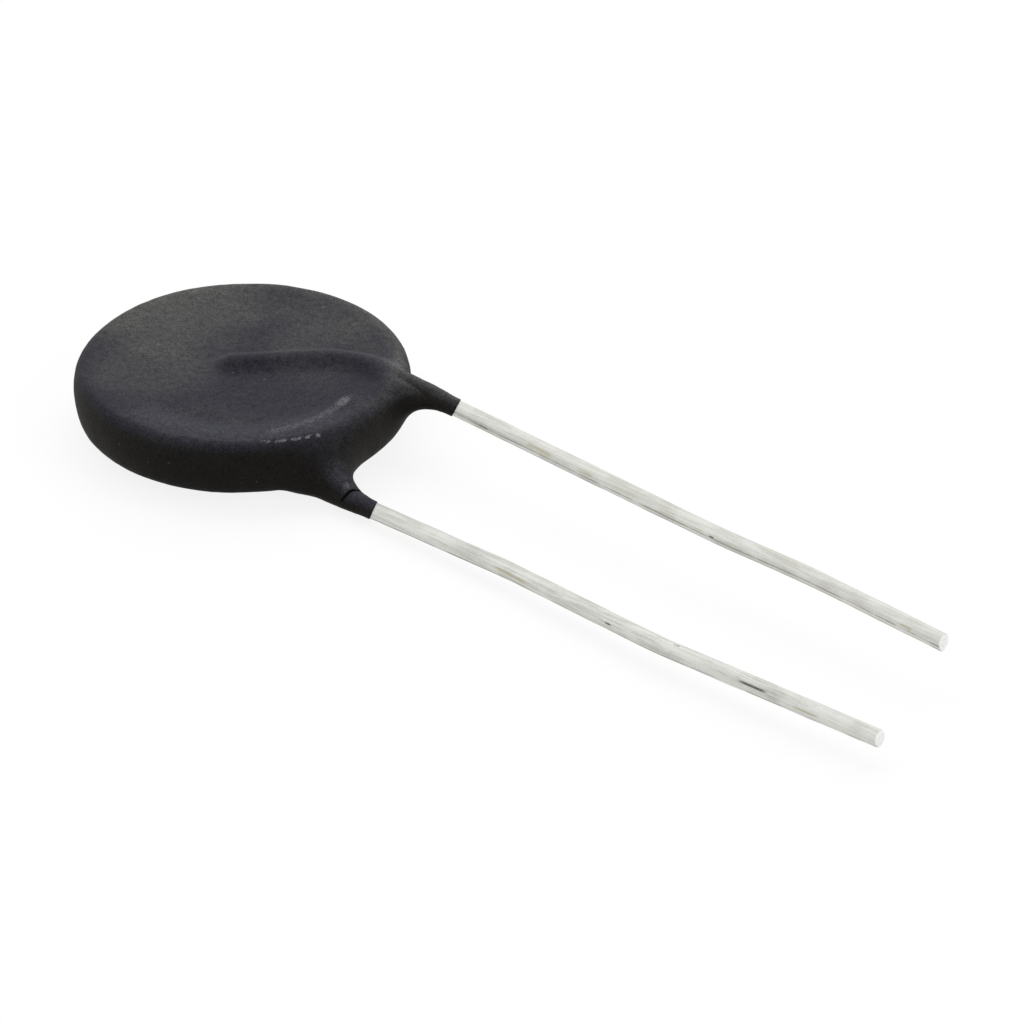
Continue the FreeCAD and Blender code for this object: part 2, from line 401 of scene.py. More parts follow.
class Signal:
    """A shader socket that Python's operators turn into Math nodes."""

    def __init__(self, graph: "Graph", socket: bpy.types.NodeSocket | None) -> None:
        """Wrap one output socket of a graph."""
        self.graph = graph
        self.socket = socket

    def _math(self, operation: str, first: object, second: object) -> "Signal":
        """A Math node of two values."""
        return self.graph.node("ShaderNodeMath", {"operation": operation}, {0: first, 1: second})

    def __add__(self, other: object) -> "Signal":
        """The sum."""
        return self._math("ADD", self, other)

    __radd__ = __add__

    def __sub__(self, other: object) -> "Signal":
        """The difference."""
        return self._math("SUBTRACT", self, other)

    def __rsub__(self, other: object) -> "Signal":
        """The difference, the other way round."""
        return self._math("SUBTRACT", other, self)

    def __mul__(self, other: object) -> "Signal":
        """The product."""
        return self._math("MULTIPLY", self, other)

    __rmul__ = __mul__

    def __pow__(self, other: object) -> "Signal":
        """The power."""
        return self._math("POWER", self, other)

    def __abs__(self) -> "Signal":
        """The value without its sign."""
        return self._math("ABSOLUTE", self, 0.0)

    def turn_from(self, across: object) -> "Signal":
        """The angle in degrees whose sine side is this value and whose cosine side is the other."""
        return self._math("ARCTAN2", self, across) * math.degrees(1.0)

    def sibling(self, output: str | int) -> "Signal":
        """Another output of the same node."""
        return Signal(self.graph, self.socket.node.outputs[output])

    def above(self, low: float, high: float) -> "Signal":
        """Zero below low, one above high, and smooth between them."""
        return self.graph.node("ShaderNodeMapRange", {"interpolation_type": "SMOOTHSTEP"},
                               {"Value": self, "From Min": low, "From Max": high})

    def below(self, low: float, high: float) -> "Signal":
        """One below low, zero above high, and smooth between them."""
        return 1.0 - self.above(low, high)


class Graph:
    """The node graph of one material or world. A spot's core is a share of its radius."""

    SPOT_CORE = 0.35

    def __init__(self, owner: bpy.types.Material | bpy.types.World) -> None:
        """Start without nodes.

        Args:
            owner: A new material or world, which keeps the graph.
        """
        owner.use_nodes = True
        owner.node_tree.nodes.clear()
        self.owner = owner

    def node(self, kind: str, settings: Mapping[str, object] | None = None,
             inputs: Mapping[str | int, object] | None = None, output: str | int = 0) -> Signal:
        """Add a node.

        Args:
            kind: The node's type.
            settings: Its own settings, set before its sockets.
            inputs: Values or links of its input sockets, by name or number.
            output: The output socket that is wanted.

        Returns:
            That output, as a signal. A node without outputs gives an empty signal.
        """
        node = self.owner.node_tree.nodes.new(kind)
        for name, value in (settings or {}).items():
            setattr(node, name, value)
        for name, value in (inputs or {}).items():
            socket = node.inputs[name]
            if isinstance(value, Signal):
                self.owner.node_tree.links.new(value.socket, socket)
            else:
                socket.default_value = value
        return Signal(self, node.outputs[output] if node.outputs else None)

    def mix(self, share: object, first: object, second: object, blend: str = "MIX") -> Signal:
        """Two colours mixed by a share.

        Args:
            share: How much of the second colour shows, from zero to one.
            first: A colour, or a signal of one.
            second: The other colour.
            blend: How the second goes over the first.

        Returns:
            The mixed colour.
        """
        factor, a, b, result = 0, 6, 7, 2
        colours = [value if isinstance(value, Signal) else (*value, 1.0) for value in (first, second)]
        return self.node("ShaderNodeMix", {"data_type": "RGBA", "blend_type": blend},
                         {factor: share, a: colours[0], b: colours[1]}, result)

    def split(self, vector: Signal) -> tuple[Signal, Signal, Signal]:
        """The three parts of a vector."""
        first = self.node("ShaderNodeSeparateXYZ", None, {"Vector": vector})
        return first, first.sibling(1), first.sibling(2)

    def shade(self, colour: Signal, share: Signal) -> Signal:
        """A colour multiplied by a share."""
        grey = self.node("ShaderNodeCombineXYZ", None, {0: share, 1: share, 2: share})
        return self.mix(1.0, colour, grey, "MULTIPLY")

    def noise(self, where: Signal, size: float, detail: float = 2.0, roughness: float = 0.5) -> Signal:
        """Soft noise whose grains measure about the given size in millimetres."""
        return self.node("ShaderNodeTexNoise", None, {"Vector": where, "Scale": 1.0 / (size * MM),
                                                      "Detail": detail, "Roughness": roughness})

    def spot(self, where: Signal, place: Sequence[float], radius: float) -> Signal:
        """A round spot with a soft edge.

        Args:
            where: Object coordinates.
            place: The spot's place in millimetres about the disc's middle.
            radius: Its radius in millimetres.

        Returns:
            One in the core and zero past the radius.
        """
        centre = tuple(put_in_frame(np.array(place)))
        distance = self.node("ShaderNodeVectorMath", {"operation": "DISTANCE"},
                             {0: where, 1: centre}, "Value")
        return distance.below(self.SPOT_CORE * radius * MM, radius * MM)

    def bump(self, height: Signal, strength: float, depth: float) -> Signal:
        """The surface's normal, tilted by a height that stands for a depth in millimetres."""
        return self.node("ShaderNodeBump", None,
                         {"Strength": strength, "Distance": depth * MM, "Height": height})

    def finish(self, inputs: Mapping[str, object]) -> bpy.types.Material:
        """Close the graph with a surface shader.

        Args:
            inputs: Values or links of the shader's sockets, by name.

        Returns:
            The finished material.
        """
        shader = self.node("ShaderNodeBsdfPrincipled", None, inputs)
        self.node("ShaderNodeOutputMaterial", None, {"Surface": shader})
        return self.owner


@dataclass(frozen=True)
class PaintedLightArc:
    """A stretch of painted light along an arc on the disc's face, in millimetres and degrees about the disc's
    middle.

    Its distance from the middle goes evenly from one end's to the other's. Its edges are soft: across, from
    the core, a share of the half width, and lengthwise by the two fades, in degrees.
    """

    from_turn: float
    to_turn: float
    from_radius: float
    to_radius: float
    half_width: float
    share: float
    core: float = 0.2
    fade_outside: float = 3.0
    fade_inside: float = 4.0

    def mask(self, away: Signal, turn: Signal) -> Signal:
        """How strongly the arc shows.

        Args:
            away: The distance from the disc's middle.
            turn: The turn about it.

        Returns:
            Zero outside the arc, and its share in the middle of it.
        """
        pace = (self.to_radius - self.from_radius) / (self.to_turn - self.from_turn)
        middle = (turn - self.from_turn) * pace + self.from_radius
        across = abs(away - middle).below(self.core * self.half_width, self.half_width)
        begun = turn.above(self.from_turn - self.fade_outside, self.from_turn + self.fade_inside)
        ended = turn.below(self.to_turn - self.fade_inside, self.to_turn + self.fade_outside)
        return across * begun * ended * self.share


@dataclass(frozen=True)
class CoatingFinish:
    """Matte black dip coating: fine grain, olive and violet clouding and dust specks, with painted sheen,
    painted highlights and glints, and painted shade on the wall, on the front neck's side and in the crack.

    A mark and a patch are a place in millimetres about the disc's middle, a radius and a strength. Sizes and
    distances from the middle are in millimetres. A span is where a mask begins and where it is full: of a
    noise, of a distance, or of a part of the surface's direction, from -1 to 1.
    """

    CRACK_SHADE = "crack"

    olive: Colour = (0.084, 0.085, 0.080)
    violet: Colour = (0.0305, 0.0295, 0.0380)
    # Painted sheen, in a band inside the front lip.
    sheen: Colour = (0.051, 0.051, 0.063)
    # The wall colour is painted shade on the side of the rim; the lit wall colour is painted light where it
    # faces left or back.
    wall: Colour = (0.0160, 0.0147, 0.0139)
    lit_wall: Colour = (0.0295, 0.0277, 0.0262)
    dust: Colour = (0.14, 0.14, 0.15)
    # Pale colour for the painted highlights and glints, and for a few dust specks.
    highlight_and_speck: Colour = (0.17, 0.175, 0.19)
    # Painted shade in the crack.
    crack_shade_colour: Colour = (0.006, 0.005, 0.005)
    grain_size: float = 0.38
    fine_size: float = 0.10
    cloud_size: float = 4.0
    patch_size: float = 0.45
    grain_depth: float = 1.5
    fine_depth: float = 2.2
    roughness: float = 0.66
    specular: float = 0.07
    grain_share: float = 0.6
    bump_strength: float = 0.5
    bump_depth: float = 0.02
    grain_gloss: float = 0.5
    cloud_level: float = 0.47
    cloud_depth: float = 0.8
    # Painted light: the back of the rim is lightened towards the olive colour.
    lit_back_rim: Span = (8.3, 9.2)
    lit_back_rim_across: Span = (0.0, 5.0)
    rim_light_share: float = 0.5
    # Spans of the painted shade on the wall, and of the painted light where it faces left or back.
    wall_shade_away: Span = (9.0, 9.7)
    wall_shade_upward: Span = (0.3, 0.9)
    wall_light_rightward: Span = (-0.6, 0.8)
    wall_light_backward: Span = (-0.4, 0.35)
    # Spans and share of the painted shade on the front neck's side that faces the front.
    neck_shade_away: Span = (9.3, 10.6)
    neck_shade_across: Span = (1.0, 3.0)
    neck_shade_backward: Span = (-0.35, 0.1)
    neck_shade_share: float = 0.6
    dust_cell: float = 0.7
    dust_edge: Span = (0.05, 0.13)
    dust_chance: Span = (0.80, 0.97)
    dust_share: float = 0.7
    highlight_grain: Span = (0.32, 0.60)
    glint_breaks: Span = (0.48, 0.60)
    # Patches of painted light in the olive colour: towards the back and left of the face, and on the ridge's
    # far slope.
    painted_light_patches: tuple[Spot, ...] = (
        (-8.5, 2.5, 1.6, 8.0, 0.78), (-3.4, -4.0, 1.6, 4.5, 0.36), (4.5, 7.5, 1.6, 4.0, 0.15),
        (0.0, 7.5, 1.6, 5.0, 0.30), (1.5, 3.2, 1.9, 3.5, 0.20))
    # A painted highlight arc on the face, painted glints along the lip, and a band of painted sheen inside
    # it.
    face_highlight_arc: PaintedLightArc = PaintedLightArc(-36.0, 9.0, 8.25, 7.45, 0.42, 0.32)
    lip_glint_arc: PaintedLightArc = PaintedLightArc(-41.0, -18.0, 9.17, 9.40, 0.12, 1.4)
    sheen_arc: PaintedLightArc = PaintedLightArc(-96.0, -4.0, 7.8, 8.1, 1.6, 0.6)
    # Painted highlights and glints on the face, the lip, the neck crest and the back web, and a few dust
    # specks.
    marks: tuple[Spot, ...] = (
        (7.55, 0.35, 1.58, 0.52, 0.4), (7.40, 0.75, 1.58, 0.40, 0.4), (8.87, -3.13, 1.50, 0.18, 2.6),
        (8.60, -3.65, 1.52, 0.14, 2.2), (8.09, 3.42, 1.66, 0.17, 0.6), (8.02, 3.20, 1.66, 0.13, 0.6),
        (-0.62, 7.69, 1.60, 0.14, 0.6), (0.53, -1.28, 1.56, 0.13, 0.6), (0.45, -0.60, 1.62, 0.11, 0.6),
        (9.1, -5.4, 0.9, 0.16, 0.6), (11.30, -3.46, -0.62, 0.30, 0.5), (10.4, -3.2, -0.3, 1.0, 0.12),
        (11.9, -3.3, -0.9, 0.9, 0.09), (7.4, 5.4, 1.5, 1.6, 0.30))

    def material(self) -> bpy.types.Material:
        """Build the material.

        Returns:
            The coating's material.
        """
        graph = Graph(bpy.data.materials.new("black_coating"))
        where = graph.node("ShaderNodeTexCoord", None, None, "Object")
        middle = tuple(put_in_frame(np.zeros(3)))
        from_middle = graph.node("ShaderNodeVectorMath", {"operation": "SUBTRACT"}, {0: where, 1: middle})
        along, across, _ = graph.split(from_middle)
        away = (along * along + across * across) ** 0.5 * (1.0 / MM)
        turn = across.turn_from(along)
        grain = graph.noise(where, self.grain_size, detail=3.0, roughness=0.55)
        fine = graph.noise(where, self.fine_size)
        shade = 1.0 + (grain - NOISE_MIDDLE) * self.grain_depth + (fine - NOISE_MIDDLE) * self.fine_depth
        speckled = graph.shade(self._clouded(graph, where, away, turn, across * (1.0 / MM)), shade)
        dusted = graph.mix(self._dust(graph, where), speckled, self.dust)
        # Painted highlights and glints, with a few dust specks, broken up by the fine grain.
        highlight_and_speck_share = self._highlights_and_specks(graph, where, away, turn) * fine.above(*self.highlight_grain)
        highlight_and_speck = graph.mix(highlight_and_speck_share, dusted, self.highlight_and_speck)
        # Painted shade in the crack, from the points' crack attribute.
        crack = graph.node("ShaderNodeAttribute", {"attribute_name": self.CRACK_SHADE}, None, "Fac")
        crack_shaded = graph.mix(crack, highlight_and_speck, self.crack_shade_colour)
        height = grain * self.grain_share + fine * (1.0 - self.grain_share)
        return graph.finish({"Base Color": crack_shaded, "Specular IOR Level": self.specular,
                             "Roughness": self.roughness + (grain - NOISE_MIDDLE) * self.grain_gloss,
                             "Normal": graph.bump(height, self.bump_strength, self.bump_depth)})

    def _clouded(self, graph: Graph, where: Signal, away: Signal, turn: Signal, across: Signal) -> Signal:
        """The coating's colour without its grain.

        The face is clouded, with painted sheen in a band inside the lip, and painted light at the back of the
        rim and in a few patches. The wall is warmer and darker with painted shade, less so to the left and to
        the back with painted light, and the front neck's side that faces the front gets painted shade too.

        Args:
            graph: The material's graph.
            where: Object coordinates.
            away: The distance from the disc's middle.
            turn: The turn about it, in degrees.
            across: The part of the distance along Y.

        Returns:
            The colour.
        """
        cloud = graph.noise(where, self.cloud_size, detail=3.0, roughness=0.55)
        # Painted light in the olive colour at the back of the rim and in patches, over the random clouding.
        olive = away.above(*self.lit_back_rim) * across.above(*self.lit_back_rim_across) * self.rim_light_share
        olive = olive + (cloud - self.cloud_level) * self.cloud_depth
        for *place, radius, strength in self.painted_light_patches:
            olive = olive + graph.spot(where, place, radius) * strength
        face = graph.mix(olive, self.violet, self.olive)
        # Painted sheen in a band inside the front lip.
        banded = graph.mix(self.sheen_arc.mask(away, turn), face, self.sheen)
        normal = graph.node("ShaderNodeNewGeometry", None, None, "Normal")
        rightward, backward, upward = graph.split(normal)
        # Painted shade on the wall, lighter with painted light where it faces left or back.
        side = away.above(*self.wall_shade_away) * upward.below(*self.wall_shade_upward)
        # Painted shade on the front neck's side that faces the front.
        neck_shade_place = away.above(*self.neck_shade_away) * across.above(*self.neck_shade_across)
        shaded_neck = neck_shade_place * backward.below(*self.neck_shade_backward) * self.neck_shade_share
        wall_light = rightward.below(*self.wall_light_rightward) + backward.above(*self.wall_light_backward)
        return graph.mix(side + shaded_neck, banded, graph.mix(wall_light, self.wall, self.lit_wall))

    def _dust(self, graph: Graph, where: Signal) -> Signal:
        """Where dust lies: a speck in the middle of a few of the cells that space is divided into.

        Args:
            graph: The material's graph.
            where: Object coordinates.

        Returns:
            How strongly the dust shows.
        """
        cells = graph.node("ShaderNodeTexVoronoi", {"feature": "F1"},
                           {"Vector": where, "Scale": 1.0 / (self.dust_cell * MM)})
        chance = graph.node("ShaderNodeSeparateColor", None, {"Color": cells.sibling("Color")}, "Red")
        return cells.below(*self.dust_edge) * chance.above(*self.dust_chance) * self.dust_share

    def _highlights_and_specks(self, graph: Graph, where: Signal, away: Signal, turn: Signal) -> Signal:
        """How strongly the marks and the painted highlight arcs show. The marks are painted highlights and
        glints, with a few dust specks. The glint arc on the lip is broken into patches.

        Args:
            graph: The material's graph.
            where: Object coordinates.
            away: The distance from the disc's middle.
            turn: The turn about it, in degrees.

        Returns:
            Their strengths, added.
        """
        patches = graph.noise(where, self.patch_size, detail=1.0).above(*self.glint_breaks)
        highlight_and_speck_share = self.face_highlight_arc.mask(away, turn) + self.lip_glint_arc.mask(away, turn) * patches
        for *place, radius, strength in self.marks:
            highlight_and_speck_share = highlight_and_speck_share + graph.spot(where, place, radius) * strength
        return highlight_and_speck_share


@dataclass(frozen=True)
class WireMark:
    """A mark on a wire, with soft edges.

    Attributes:
        place: How far along X its middle lies from the disc's middle, in millimetres.
        half_length: Half its length in millimetres.
        turn: Its middle round the wire, as a share of a turn.
        half_width: Half its width, as a share of a turn.
        long_core: The share of its half length that shows in full.
        wide_core: The share of its half width that shows in full.
    """

    place: float
    half_length: float
    turn: float
    half_width: float
    long_core: float = 0.5
    wide_core: float = 0.3

    def mask(self, along: Signal, around: Signal) -> Signal:
        """How strongly the mark shows.

        Args:
            along: The place along X from the disc's middle, in millimetres.
            around: The turn round the wire, as a share of a turn.

        Returns:
            Zero outside the mark and one in its core.
        """
        lengthwise = abs(along - self.place).below(self.long_core * self.half_length, self.half_length)
        crosswise = abs(around - self.turn).below(self.wide_core * self.half_width, self.half_width)
        return lengthwise * crosswise


@dataclass(frozen=True)
class TinnedFinish:
    """Dull tin on copper wire: drawn streaks along it, long thin marks of painted shade, yellowed patches and
    scuffs.

    The painted shade is marks as long as the wire, on its lower front side. Three noises dull the tin:
    streaks, clouds and a fine grain, each with its size in millimetres and how much it counts. A span is
    where a mask begins and where it is full.
    """

    CUT = "cut"

    name: str
    shade_lines: tuple[WireMark, ...]
    yellowed: tuple[WireMark, ...]
    scuffs: tuple[WireMark, ...]
    bright: Colour = (0.78, 0.78, 0.745)
    dull: Colour = (0.58, 0.58, 0.525)
    yellow: Colour = (0.54, 0.52, 0.39)
    line_shade: Colour = (0.30, 0.30, 0.275)
    scuffed: Colour = (0.21, 0.20, 0.19)
    fresh_cut: Colour = (0.95, 0.95, 0.94)
    streak_length: float = 4.0
    streak_width: float = 0.15
    streak_level: float = 0.42
    streak_depth: float = 2.6
    cloud_size: float = 1.6
    cloud_level: float = 0.45
    cloud_depth: float = 1.4
    fine_size: float = 0.10
    fine_depth: float = 0.9
    line_breaks: Span = (0.80, 1.10)
    line_share: float = 0.8
    yellow_streaks: Span = (0.35, 0.6)
    scuff_breaks: Span = (0.75, 1.0)
    cut_grain: Span = (0.3, 0.45)
    metallic: float = 0.85
    scuff_loss: float = 0.4
    roughness: float = 0.50
    streak_gloss: float = 0.3
    scuff_gloss: float = 0.25
    streak_share: float = 0.6
    scuff_sink: float = 0.6
    line_sink: float = 0.3
    bump_strength: float = 0.5
    bump_depth: float = 0.03

    def material(self) -> bpy.types.Material:
        """Build the material.

        Returns:
            The wire's material.
        """
        graph = Graph(bpy.data.materials.new(self.name))
        where = graph.node("ShaderNodeTexCoord", None, None, "Object")
        along = graph.split(where)[0] * (1.0 / MM) - put_in_frame(np.zeros(3))[0] / MM
        around = graph.split(graph.node("ShaderNodeUVMap", {"uv_map": TinnedLead.CHART}))[1]
        lengthwise, crosswise = 1.0 / (self.streak_length * MM), 1.0 / (self.streak_width * MM)
        stretched = graph.node("ShaderNodeMapping", None,
                               {"Vector": where, "Scale": (lengthwise, crosswise, crosswise)})
        streak = graph.node("ShaderNodeTexNoise", None,
                            {"Vector": stretched, "Scale": 1.0, "Detail": 4.0, "Roughness": 0.6})
        cloud = graph.noise(where, self.cloud_size, detail=3.0)
        fine = graph.noise(where, self.fine_size, detail=3.0, roughness=0.6)
        dulling = (streak - self.streak_level) * self.streak_depth
        dulling = dulling + (cloud - self.cloud_level) * self.cloud_depth
        dulling = dulling + (fine - NOISE_MIDDLE) * self.fine_depth
        tinned = graph.mix(dulling, self.bright, self.dull)
        # Painted shade along the wire's lower front side, in long thin marks.
        shade_lines = self._masks(self.shade_lines, along, around) * (streak + cloud).above(*self.line_breaks)
        line_shade = graph.mix(shade_lines * self.line_share, tinned, self.line_shade)
        yellow = self._masks(self.yellowed, along, around) * streak.above(*self.yellow_streaks)
        yellowed = graph.mix(yellow, line_shade, self.yellow)
        scuff = self._masks(self.scuffs, along, around) * (streak + fine).above(*self.scuff_breaks)
        colour = graph.mix(scuff, yellowed, self.scuffed)
        cut = graph.node("ShaderNodeAttribute", {"attribute_name": self.CUT}, None, "Fac")
        skin = streak * self.streak_share + fine * (1.0 - self.streak_share)
        height = skin - scuff * self.scuff_sink - shade_lines * self.line_sink
        roughness = self.roughness + (streak - NOISE_MIDDLE) * self.streak_gloss + scuff * self.scuff_gloss
        metallic = self.metallic + cut * (1.0 - self.metallic) - scuff * self.scuff_loss
        ended = graph.mix(cut * fine.above(*self.cut_grain), colour, self.fresh_cut)
        return graph.finish({"Base Color": ended, "Metallic": metallic, "Roughness": roughness,
                             "Normal": graph.bump(height, self.bump_strength, self.bump_depth)})

    @staticmethod
    def _masks(marks: Sequence[WireMark], along: Signal, around: Signal) -> Signal | float:
        """How strongly any of the marks shows."""
        return sum((mark.mask(along, around) for mark in marks), 0.0)


@dataclass(frozen=True)
class InnerFinish:
    """A hidden piece's finish: one colour with clouding, grain in the roughness, and a fine bump.

    Sizes are in millimetres.
    """

    name: str
    pale: Colour
    dark: Colour
    metallic: float
    roughness: float
    grain_size: float
    cloud_size: float = 2.5
    cloud_share: float = 0.6
    grain_gloss: float = 0.3
    bump_strength: float = 0.3
    bump_depth: float = 0.02

    def material(self) -> bpy.types.Material:
        """Build the material.

        Returns:
            The piece's material.
        """
        graph = Graph(bpy.data.materials.new(self.name))
        where = graph.node("ShaderNodeTexCoord", None, None, "Object")
        cloud = graph.noise(where, self.cloud_size, detail=3.0)
        grain = graph.noise(where, self.grain_size, detail=3.0)
        clouding = cloud * self.cloud_share + grain * (1.0 - self.cloud_share)
        return graph.finish({"Base Color": graph.mix(clouding, self.pale, self.dark),
                             "Metallic": self.metallic,
                             "Roughness": self.roughness + (grain - NOISE_MIDDLE) * self.grain_gloss,
                             "Normal": graph.bump(grain, self.bump_strength, self.bump_depth)})


@dataclass
class WireCover:
    """The coating over one wire: a ridge on the disc's face and a webbed neck beyond its rim, in millimetres.

    The reaches say how widely the cover flows into the disc: on the face, on the neck's crest, on its outer
    side, and in the web, which is fullest at an angle in degrees below the neck's inner side. The web fades
    out between two heights round the wire, from -1 below it to 1 above. The mouth's two leans are how much
    further its cut reaches on the outer side and at the top. The spans past the rim say where, along the wire
    and counted from the rim, the ridge gives way, the neck takes its radius, and the web and the outer fillet
    grow. The crest's top is a height that the skin stays under.
    """

    route: WireRoute
    face: WireFace
    neck_length: float
    inner_reach: float
    outer_reach: float
    web_dip: float
    web_fade: Span
    mouth_leans: Span
    face_reach: float = 0.4
    crest_reach: float = 0.5
    ridge_height: float = 0.52
    ridge_half_width: float = 1.4
    ridge_core: float = 0.42
    ridge_past_rim: Span = (-1.8, -0.2)
    neck_past_rim: Span = (-2.6, -1.0)
    web_past_rim: Span = (-2.6, 0.2)
    outer_past_rim: Span = (-4.8, 0.2)
    neck_radius: float = 0.62
    neck_swell: float = 0.02
    swell_stop: float = 1.0
    web_power: float = 1.5
    outer_tilt: float = 0.5
    mouth_radius: float = 0.55
    mouth_taper: float = 2.5
    mouth_twist: float = 0.03
    mouth_round: float = 0.05
    crest_top: float = 2.22
    crest_round: float = 0.2
    stretches_used: int = 5

    def _past_rim(self, span: Span, along: np.ndarray) -> np.ndarray:
        """Zero before a span along the wire, which is counted from the rim, and one after it."""
        return smooth_step(self.route.to_rim + span[0], self.route.to_rim + span[1], along)

    def ridge(self, local: np.ndarray, beside: np.ndarray, along: np.ndarray) -> np.ndarray:
        """The ridge's height over the face: a raised cosine across the wire, which gives way to the neck.

        Args:
            local: Places in millimetres, turned as the wire's face is.
            beside: How far sideways of the wire each place lies.
            along: How far along the wire it lies.

        Returns:
            One height for each place.
        """
        across = (1.0 + np.cos(math.pi * np.minimum(beside / self.ridge_half_width, 1.0))) / 2.0
        over_face = 1.0 - self._past_rim(self.ridge_past_rim, along)
        return self.ridge_height * across * over_face * smooth_step(0.0, 1.0, local[:, 2])

    def _reach(self, along: np.ndarray, outward: np.ndarray, upward: np.ndarray) -> np.ndarray:
        """How widely the cover flows into the disc in each direction round the wire.

        The web's share is a raised cosine of the angle from where it is fullest, to a power. The outer
        fillet's is the outward part less a share of the upward one.

        Args:
            along: How far along the wire each place lies.
            outward: The sideways part of its direction from the wire.
            upward: The upward part of that direction.

        Returns:
            One reach for each place.
        """
        dip = math.radians(self.web_dip)
        inward = 0.5 - 0.5 * (math.cos(dip) * outward + math.sin(dip) * upward)
        webbed = np.clip(inward, 0.0, 1.0) ** self.web_power
        webbed = webbed * (1.0 - smooth_step(*self.web_fade, upward))
        outer = np.clip(outward - self.outer_tilt * upward, 0.0, 1.0)
        neck_reach = self.crest_reach + (self.inner_reach - self.crest_reach) * webbed
        reach = self.face_reach + (neck_reach - self.face_reach) * self._past_rim(self.web_past_rim, along)
        outer_part = (self.outer_reach - self.crest_reach) * outer
        return reach + outer_part * self._past_rim(self.outer_past_rim, along)

    def distance(self, points: np.ndarray, disc: np.ndarray) -> np.ndarray:
        """The disc's distance field with this cover flowing into it.

        The ridge lowers the disc's field by its height. The neck is the distance from the wire's middle line
        less a radius that grows from the ridge's core and draws in at the mouth. The joined skin is cut off
        smoothly at the crest's top and at the mouth.

        Args:
            points: Places in millimetres, one row each.
            disc: The field so far at these places.

        Returns:
            The joined field.
        """
        local = self.face.turned(points)
        away, along, outward, upward = self.route.nearest(local, self.stretches_used, TinnedLead.HIDDEN_START)
        mouth = self.route.to_rim + self.neck_length
        disc = disc - self.ridge(local, away * np.sqrt(np.maximum(1.0 - upward ** 2, 0.0)), along)
        necked = self._past_rim(self.neck_past_rim, along)
        drawn_in = smooth_step(mouth - self.mouth_taper, mouth, along)
        radius = self.ridge_core + (self.neck_radius - self.ridge_core) * necked
        radius = radius + (self.mouth_radius - self.neck_radius) * drawn_in
        radius = radius + self.neck_swell * outward * necked * (along < mouth - self.swell_stop)
        joined = smooth_union(disc, away - radius, self._reach(along, outward, upward))
        joined = -smooth_union(-joined, self.crest_top - local[:, 2], self.crest_round)
        outer_lean, top_lean = self.mouth_leans
        uneven = outer_lean * outward + top_lean * upward + self.mouth_twist * outward * upward
        past_mouth = mouth + uneven - local[:, 0] + self._mouth_place(mouth)
        return -smooth_union(-joined, past_mouth, self.mouth_round)

    def _mouth_place(self, mouth: float) -> float:
        """What turns a distance along the wire at the mouth into a place along X."""
        point, _ = self.route.at(np.array([mouth]))
        return float(point[0, 0]) - mouth


@dataclass
class NeckCrack:
    """A crack across the upper side of a neck, slanted and slightly crooked, in millimetres and degrees.

    Turns are taken round the wire as the part lies: zero is to the neck's outer side and 90 is up. The two
    waves that make it crooked each have a height, a pace in radians a millimetre, and a start in radians.
    """

    cover: WireCover
    from_rim: float = 2.66
    width: float = 0.15
    floor_radius: float = 0.515
    lean: float = 0.45
    middle_turn: float = 95.0
    half_turn: float = 80.0
    turn_slope: float = 0.01
    sideways_wave: tuple[float, float, float] = (0.05, 3.1, 1.0)
    upward_wave: tuple[float, float, float] = (0.03, 9.0, 0.0)
    shade_reach: float = 0.045

    def gap(self, points: np.ndarray) -> np.ndarray:
        """The crack's own field: a thin slab across the wire, outside its skin and within the crack's turn.

        Args:
            points: Places in millimetres, one row each.

        Returns:
            One distance for each point, negative inside the crack.
        """
        face = self.cover.face
        place, heading = self.cover.route.at(np.array([self.cover.route.to_rim + self.from_rim]))
        offset = points - face.turned(place)[0]
        sideways = offset[:, 1]
        upward = offset[:, 2]
        turn = np.degrees(np.arctan2(upward, -sideways))
        crooked = sum(height * np.sin(pace * places + start) for places, (height, pace, start)
                      in ((sideways, self.sideways_wave), (upward, self.upward_wave)))
        slab = np.abs(offset @ face.turned(heading)[0] - self.lean * sideways + crooked) - self.width / 2.0
        outside_wire = self.floor_radius - np.hypot(sideways, upward)
        off_turn = (np.abs(turn - self.middle_turn) - self.half_turn) * self.turn_slope
        return np.maximum(np.maximum(slab, outside_wire), off_turn)

    def distance(self, points: np.ndarray, joined: np.ndarray) -> np.ndarray:
        """The field so far with the crack cut out."""
        return np.maximum(joined, -self.gap(points))

    def crack_shade(self, points: np.ndarray) -> np.ndarray:
        """How much painted shade each point gets for lying in the crack, from zero to one."""
        return 1.0 - smooth_step(0.0, self.shade_reach, self.gap(points))


